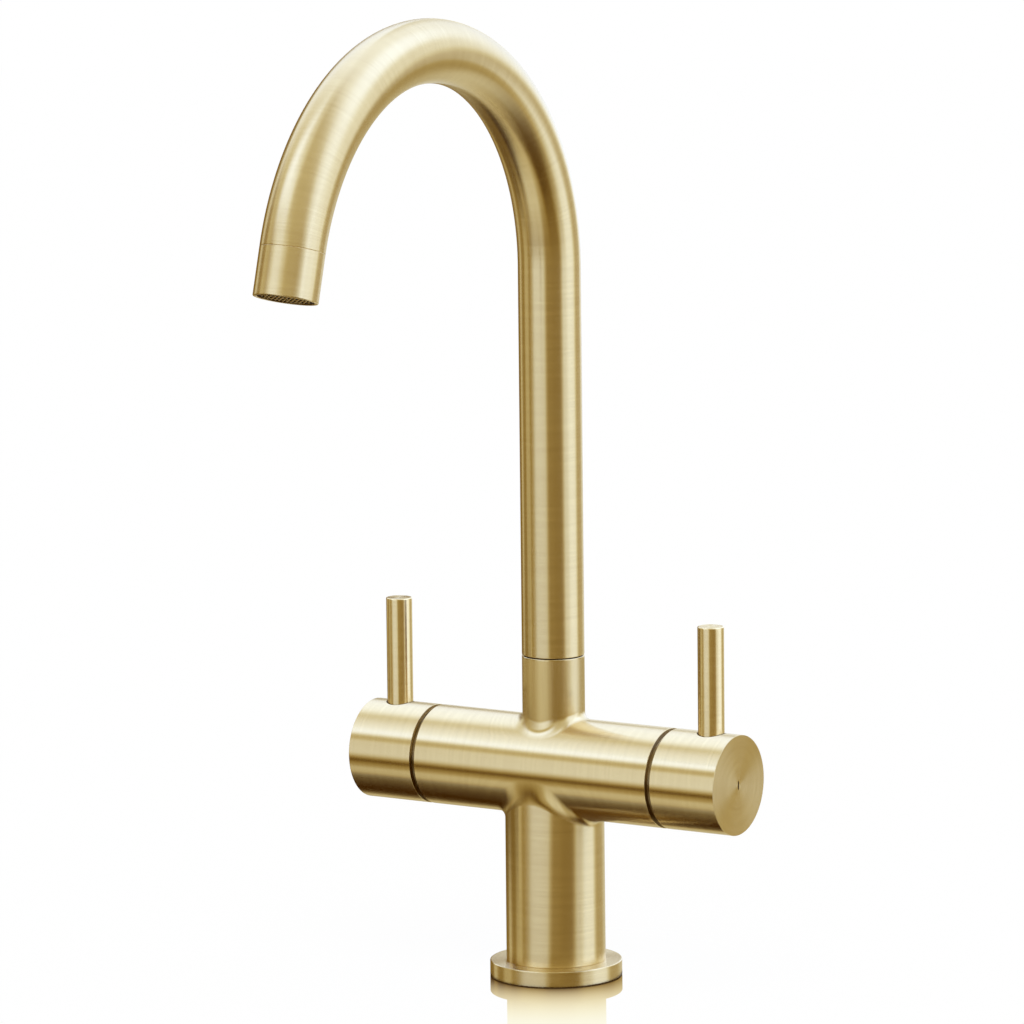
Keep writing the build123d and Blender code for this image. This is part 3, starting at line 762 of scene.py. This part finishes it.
def grid_wire(offset, radius, turn):
    """One straight wire across the round mouth at its offset from the middle, half a chord to each side: its
    section is a circle, and the turn about the mouth's axis gives its direction."""
    half = np.sqrt(gauze_radius**2 - offset**2)
    way = np.linspace(-half, half, 9)[:, None]
    round_it = np.linspace(0, 2 * np.pi, 13)
    beside = offset + radius * np.cos(round_it)
    sideways = way * np.sin(turn) + beside * np.cos(turn)
    outwards = beside * np.sin(turn) - way * np.cos(turn)
    depth = spout_length + gauze_place + radius * np.sin(round_it)
    grid = np.stack(np.broadcast_arrays(sideways, outwards, depth), axis=-1)
    return grid, np.stack(np.broadcast_arrays(way, round_it / (2 * np.pi)), axis=-1)


wires = []
for number in range(-wires_to_a_side, wires_to_a_side + 1):
    wires.append(along_spout(grid_wire(number * wire_pitch, wire_radius, gauze_turn)))
for number in cross_wires:
    wires.append(along_spout(grid_wire(number * wire_pitch, wire_radius / 2, gauze_turn + np.pi / 2)))
gauze = make_piece("wire_gauze", wires, brass)
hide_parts("aerator_screen")
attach(gauze, "spout")
give_finish(brass, "outlet_nipple")
give_finish(rubber, "aerator_washer")
# The cup's dark brown is partly painted shade, like gold in shade.
give_finish(dark_plastic, "aerator_housing")

# Camera: a long lens almost three metres from the tap, to the right of its front and a little above the
# crossbar, as the photograph was taken. The picture is 1024 pixels wide.
view_turn, view_tilt, view_roll = np.radians((32.23, 8.80, -0.62))
view_distance = 2862 * mm
aim_aside, aim_height = -15.81 * mm, 187.78 * mm
picture_pixels, lens_pixels, film_width = 1024, 7202, 36
ahead = np.array([np.sin(view_turn), -np.cos(view_turn), 0])
beside = np.array([np.cos(view_turn), np.sin(view_turn), 0])
upwards = np.array([0, 0, 1.0])
back = ahead * np.cos(view_tilt) + upwards * np.sin(view_tilt)
over = np.cross(back, beside)
right = beside * np.cos(view_roll) + over * np.sin(view_roll)
up = over * np.cos(view_roll) - beside * np.sin(view_roll)
aim = beside * aim_aside + upwards * aim_height
lens = bpy.data.cameras.new("camera")
lens.sensor_width = film_width
lens.lens = film_width * lens_pixels / picture_pixels
lens.clip_start = 0.1
lens.clip_end = 100
camera = bpy.data.objects.new("camera", lens)
pose = np.eye(4)
pose[:3] = np.stack([right, up, back, aim + back * view_distance], axis=1)
camera.matrix_world = Matrix(pose.tolist())
bpy.context.scene.collection.objects.link(camera)
bpy.context.scene.camera = camera

# Floor: a white polished table top. Close to the flange it mirrors the tap. The mirror fades outwards, and as
# the glaze is warm it fades last in the blue, so the mirrored gold stays warm.
floor_radius = 4.0
floor_height = -0.02 * mm
floor_white = 0.96
ring = np.concatenate([np.linspace(0, 0.2, 21), np.geomspace(0.25, floor_radius, 12)])
grid, lay = spin(np.stack([ring, np.full_like(ring, floor_height)], axis=-1))


def blank_paint(name):
    """A new material for the studio's own things, and its tree, which has no nodes yet."""
    paint = bpy.data.materials.new(name)
    paint.use_nodes = True
    paint.node_tree.nodes.clear()
    return paint, paint.node_tree


def show(tree, shader):
    """Makes a shader the surface of its material."""
    surface = node(tree, "OutputMaterial")
    link(tree, shader.outputs[0], surface.inputs["Surface"])


def seen_share(tree):
    """One for what the camera sees, straight on or by way of metal or glass, and nought for the light that
    falls on the table: these three kinds of ray added up, and at most one."""
    rays = node(tree, "LightPath")
    by_way = node(tree, "Math", operation="ADD")
    link(tree, rays.outputs["Is Glossy Ray"], by_way.inputs[0])
    link(tree, rays.outputs["Is Transmission Ray"], by_way.inputs[1])
    seen = node(tree, "Math", operation="ADD", use_clamp=True)
    link(tree, rays.outputs["Is Camera Ray"], seen.inputs[0])
    link(tree, by_way.outputs[0], seen.inputs[1])
    return seen.outputs[0]


paint, tree = blank_paint("white_table")
matt = node(tree, "BsdfDiffuse")
white = node(tree, "Emission")
table = node(tree, "MixShader")
link(tree, scaled(tree, seen_share(tree), floor_white), table.inputs["Fac"])
link(tree, matt.outputs[0], table.inputs[1])
link(tree, white.outputs[0], table.inputs[2])
mirror = node(tree, "BsdfAnisotropic")
mirror.inputs["Roughness"].default_value = 0
place = node(tree, "TexCoord")
length = node(tree, "VectorMath", operation="LENGTH")
link(tree, place.outputs["Object"], length.inputs[0])
mirrored, plain = node(tree, "CombineColor"), node(tree, "CombineColor")
for channel, reach in (("Red", 17 * mm), ("Green", 22 * mm), ("Blue", 42 * mm)):
    beyond = node(tree, "Math", operation="MULTIPLY_ADD")
    beyond.inputs[1].default_value = -1 / reach
    beyond.inputs[2].default_value = flange_radius / reach
    link(tree, length.outputs["Value"], beyond.inputs[0])
    fade = node(tree, "Math", operation="EXPONENT", use_clamp=True)
    link(tree, beyond.outputs[0], fade.inputs[0])
    rest = node(tree, "Math", operation="SUBTRACT")
    rest.inputs[0].default_value = 1
    link(tree, fade.outputs[0], rest.inputs[1])
    link(tree, fade.outputs[0], mirrored.inputs[channel])
    link(tree, rest.outputs[0], plain.inputs[channel])
link(tree, mirrored.outputs["Color"], mirror.inputs["Color"])
link(tree, plain.outputs["Color"], white.inputs["Color"])
link(tree, plain.outputs["Color"], matt.inputs["Color"])
polish = node(tree, "AddShader")
link(tree, table.outputs[0], polish.inputs[0])
link(tree, mirror.outputs[0], polish.inputs[1])
show(tree, polish)
floor = make_piece("floor", [(grid, lay)], paint)
floor.visible_glossy = False

# Glaze: the clear coat on the table top round the flange. It is quite clear and throws no shade, but the
# light that the table mirrors passes it twice, by which the tent's cloth tells that light from the rest.
coat_height = 0.01 * mm
coat_gap = 0.05 * mm
coat_radius = 0.6
clear, tree = blank_paint("clear_glaze")
show(tree, node(tree, "BsdfTransparent"))
coat_edges = np.array([(flange_radius + coat_gap, coat_height), (coat_radius, coat_height)])
glaze = make_piece("table_glaze", [spin(coat_edges)], clear)
glaze.visible_shadow = False
glaze.visible_diffuse = False

# Light tent: a large dome of cloth around the table, which shows only in what mirrors it. Soft boxes behind
# the cloth light parts of it and dark cards shade others, at degrees turned and raised from the front. Places
# and levels were fitted to the bands on the photographed metal, rounded, and then changed.
tent_radius = 8.0
cloth_level = 0.33
tent_turn = np.linspace(-np.pi, np.pi, 73)[None, :]
tent_rise = np.linspace(-np.pi / 2, np.pi / 2, 37)[:, None]
flat = np.cos(tent_turn)[..., None] * ahead + np.sin(tent_turn)[..., None] * beside
grid = tent_radius * (np.cos(tent_rise)[..., None] * flat + np.sin(tent_rise)[..., None] * upwards)
lay = np.stack(np.broadcast_arrays(tent_turn / (2 * np.pi) + 0.5, tent_rise / np.pi + 0.5), axis=-1)
cloth, tent_tree = blank_paint("tent_cloth")
place = node(tent_tree, "UVMap", uv_map="brushing")
parts = node(tent_tree, "SeparateXYZ")
link(tent_tree, place.outputs["UV"], parts.inputs["Vector"])
degrees = []
for axis, whole in (("X", 360), ("Y", 180)):
    turned = node(tent_tree, "Math", operation="MULTIPLY_ADD")
    turned.inputs[1].default_value = whole
    turned.inputs[2].default_value = -whole / 2
    link(tent_tree, parts.outputs[axis], turned.inputs[0])
    degrees.append(turned.outputs[0])


def soft_band(tree, value, low, high, soft):
    """One between low and high and nought outside, with edges that rise and fall smoothly."""
    steps = []
    for at in (low, high):
        step = node(tree, "MapRange", interpolation_type="SMOOTHSTEP")
        step.inputs["From Min"].default_value = at - soft
        step.inputs["From Max"].default_value = at + soft
        link(tree, value, step.inputs["Value"])
        steps.append(step.outputs["Result"])
    band = node(tree, "Math", operation="SUBTRACT")
    link(tree, steps[0], band.inputs[0])
    link(tree, steps[1], band.inputs[1])
    return band.outputs[0]


def panel(ground, turned, raised, level):
    """A lit box or a dark card on the cloth: within its turned and raised limits, with the softness given
    third, it covers the brightness behind it with its own level."""
    cover = node(tent_tree, "Math", operation="MULTIPLY")
    link(tent_tree, soft_band(tent_tree, degrees[0], *turned), cover.inputs[0])
    link(tent_tree, soft_band(tent_tree, degrees[1], *raised), cover.inputs[1])
    lit = node(tent_tree, "Mix", data_type="FLOAT")
    lit.inputs["B"].default_value = level
    link(tent_tree, ground, lit.inputs["A"])
    link(tent_tree, cover.outputs[0], lit.inputs["Factor"])
    return lit.outputs["Result"]


bare_cloth = node(tent_tree, "Value")
bare_cloth.outputs[0].default_value = cloth_level
# The lit cloth high behind the tap at the left.
bright = panel(bare_cloth.outputs[0], (-250, -125, 35), (10, 120, 15), 0.95)
# The key box on the right, which reaches round behind the tap, with its lower edge, a dimmer patch and its
# brighter middle.
bright = panel(bright, (40, 250, 15), (-5, 120, 5), 0.9)
bright = panel(bright, (65, 105, 10), (-20, 20, 5), 0.82)
bright = panel(bright, (90, 120, 10), (0, 30, 10), 0.6)
bright = panel(bright, (75, 135, 15), (35, 65, 10), 1.1)
# The small box high on the left, the fill box below it and the dark edge between them.
bright = panel(bright, (-95, -35, 15), (30, 75, 5), 1.1)
bright = panel(bright, (-65, -15, 10), (-25, 25, 5), 0.82)
bright = panel(bright, (-70, -20, 10), (25, 35, 5), 0.35)
# The table's front and right, the edge of the table, and the cloth over the camera.
bright = panel(bright, (-65, -10, 10), (-55, -30, 5), 0.55)
bright = panel(bright, (85, 250, 10), (-60, -35, 5), 0.5)
bright = panel(bright, (-80, 20, 10), (-26, -10, 9), 0.01)
bright = panel(bright, (-70, 40, 15), (50, 75, 10), 0.5)
bright = panel(bright, (-25, 30, 15), (8, 80, 10), 0.36)
# Cards: in front beside the camera and below it, at the right, two at the left, two low on the left, and two
# behind, of which the last is only grey.
bright = panel(bright, (-14, 44, 9), (-35, 10, 10), 0.11)
bright = panel(bright, (10, 88, 10), (-120, -30, 5), 0.02)
bright = panel(bright, (105, 140, 10), (-36, 4, 8), 0.24)
bright = panel(bright, (-125, -105, 5), (-25, 25, 5), 0.15)
bright = panel(bright, (-85, -75, 5), (-25, 15, 5), 0.15)
bright = panel(bright, (-170, -75, 5), (-120, -41, 4), 0.01)
bright = panel(bright, (-160, -95, 6), (-60, -24, 5), 0.01)
bright = panel(bright, (-250, -140, 5), (-20, 20, 5), 0.1)
bright = panel(bright, (170, 250, 10), (-35, 50, 5), 0.6)
# Light that comes to the metal from other metal, such as the flange's top in the belly of an arm, finds the
# cloth high behind at the left, and all the cloth below the table, in shade.
more_than_once = 1.5
rays = node(tent_tree, "LightPath")
passed_on = node(tent_tree, "Math", operation="GREATER_THAN")
passed_on.inputs[1].default_value = more_than_once
link(tent_tree, rays.outputs["Ray Depth"], passed_on.inputs[0])
shaded = panel(bright, (-250, -110, 15), (20, 120, 10), 0.05)
shaded = panel(shaded, (-250, 250, 10), (-120, 0, 8), 0.03)
lit = node(tent_tree, "Mix", data_type="FLOAT")
link(tent_tree, passed_on.outputs[0], lit.inputs["Factor"])
link(tent_tree, bright, lit.inputs["A"])
link(tent_tree, shaded, lit.inputs["B"])
# What the table mirrors, seen through its glaze twice, is dimmer.
mirror_level = 0.2
mirrored = node(tent_tree, "Math", operation="GREATER_THAN")
mirrored.inputs[1].default_value = more_than_once
link(tent_tree, rays.outputs["Transparent Depth"], mirrored.inputs[0])
share = node(tent_tree, "MapRange")
share.inputs["To Min"].default_value = 1
share.inputs["To Max"].default_value = mirror_level
link(tent_tree, mirrored.outputs[0], share.inputs["Value"])
dimmed = node(tent_tree, "Math", operation="MULTIPLY")
link(tent_tree, lit.outputs["Result"], dimmed.inputs[0])
link(tent_tree, share.outputs["Result"], dimmed.inputs[1])
# The cloth is warm where it is dim and bluish where it is bright: each colour is a factor times a power of
# the brightness.
shade = node(tent_tree, "CombineColor")
for channel, factor, power in (("Red", 1.25, 0.70), ("Green", 1.50, 0.96), ("Blue", 2.25, 1.70)):
    raised = node(tent_tree, "Math", operation="POWER")
    raised.inputs[1].default_value = power
    link(tent_tree, dimmed.outputs[0], raised.inputs[0])
    link(tent_tree, scaled(tent_tree, raised.outputs[0], factor), shade.inputs[channel])
# A sharp mirror such as the table shows the cloth as plain white.
seen_sharp = node(tent_tree, "Mix", data_type="RGBA")
seen_sharp.inputs["B"].default_value = (1, 1, 1, 1)
link(tent_tree, rays.outputs["Is Singular Ray"], seen_sharp.inputs["Factor"])
link(tent_tree, shade.outputs["Color"], seen_sharp.inputs["A"])
glow = node(tent_tree, "Emission")
link(tent_tree, seen_sharp.outputs["Result"], glow.inputs["Color"])
show(tent_tree, glow)
cloth.cycles.emission_sampling = "NONE"
tent = make_piece("light_tent", [(grid, lay)], cloth)
tent.visible_camera = False
tent.visible_diffuse = False
tent.visible_shadow = False

# Shaded table: the metal sees the table in the tap's own shadow, dark close round the flange and brown at the
# left behind it; the camera sees only the white floor.
shade_height = -0.05 * mm
contact_width = 2 * mm
left_near, left_far = 220 * mm, 600 * mm
left_turns = view_turn - np.pi / 2 + np.radians(np.linspace(-160, -92, 35))


def table_shade(name, sheet, colour):
    """A flat sheet just under the floor that glows in one dim colour."""
    dim, tree = blank_paint(name)
    glow = node(tree, "Emission")
    glow.inputs["Color"].default_value = (*colour, 1)
    show(tree, glow)
    dim.cycles.emission_sampling = "NONE"
    shade = make_piece(name, [sheet], dim)
    shade.visible_camera = False
    shade.visible_diffuse = False
    shade.visible_shadow = False


def flat_ring(inner, outer, ring_turn):
    """The part of a flat ring between two radii that lies in a range of turns."""
    return spin(np.array([(inner, shade_height), (outer, shade_height)]), ring_turn)


foot_ring = flat_ring(flange_radius - contact_width, flange_radius + contact_width, full_turn)
table_shade("foot_shade", foot_ring, (0.05, 0.025, 0.006))
table_shade("left_shade", flat_ring(left_near, left_far, left_turns), (0.16, 0.10, 0.03))

# Studio: a white surround, which shows as white and lights the table less than that, and one wide lamp
# overhead that gives the table its shadow and isn't mirrored in the metal.
surround_light = 0.55
lamp_spread = np.radians(50)
lamp_tilt = np.radians((25, 20, 0))
lamp_energy = 1.6
world = bpy.data.worlds.new("studio")
world.use_nodes = True
tree = world.node_tree
level = node(tree, "MapRange")
level.inputs["To Min"].default_value = surround_light
level.inputs["To Max"].default_value = 1
link(tree, seen_share(tree), level.inputs["Value"])
surround = tree.nodes["Background"]
surround.inputs["Color"].default_value = (1, 1, 1, 1)
link(tree, level.outputs["Result"], surround.inputs["Strength"])
world.cycles.sampling_method = "NONE"
bpy.context.scene.world = world
lamp = bpy.data.lights.new("overhead", "SUN")
lamp.angle = lamp_spread
lamp.energy = lamp_energy
overhead = bpy.data.objects.new("overhead", lamp)
overhead.rotation_euler = lamp_tilt
overhead.visible_glossy = False
bpy.context.scene.collection.objects.link(overhead)
bpy.context.scene.view_settings.view_transform = "Standard"
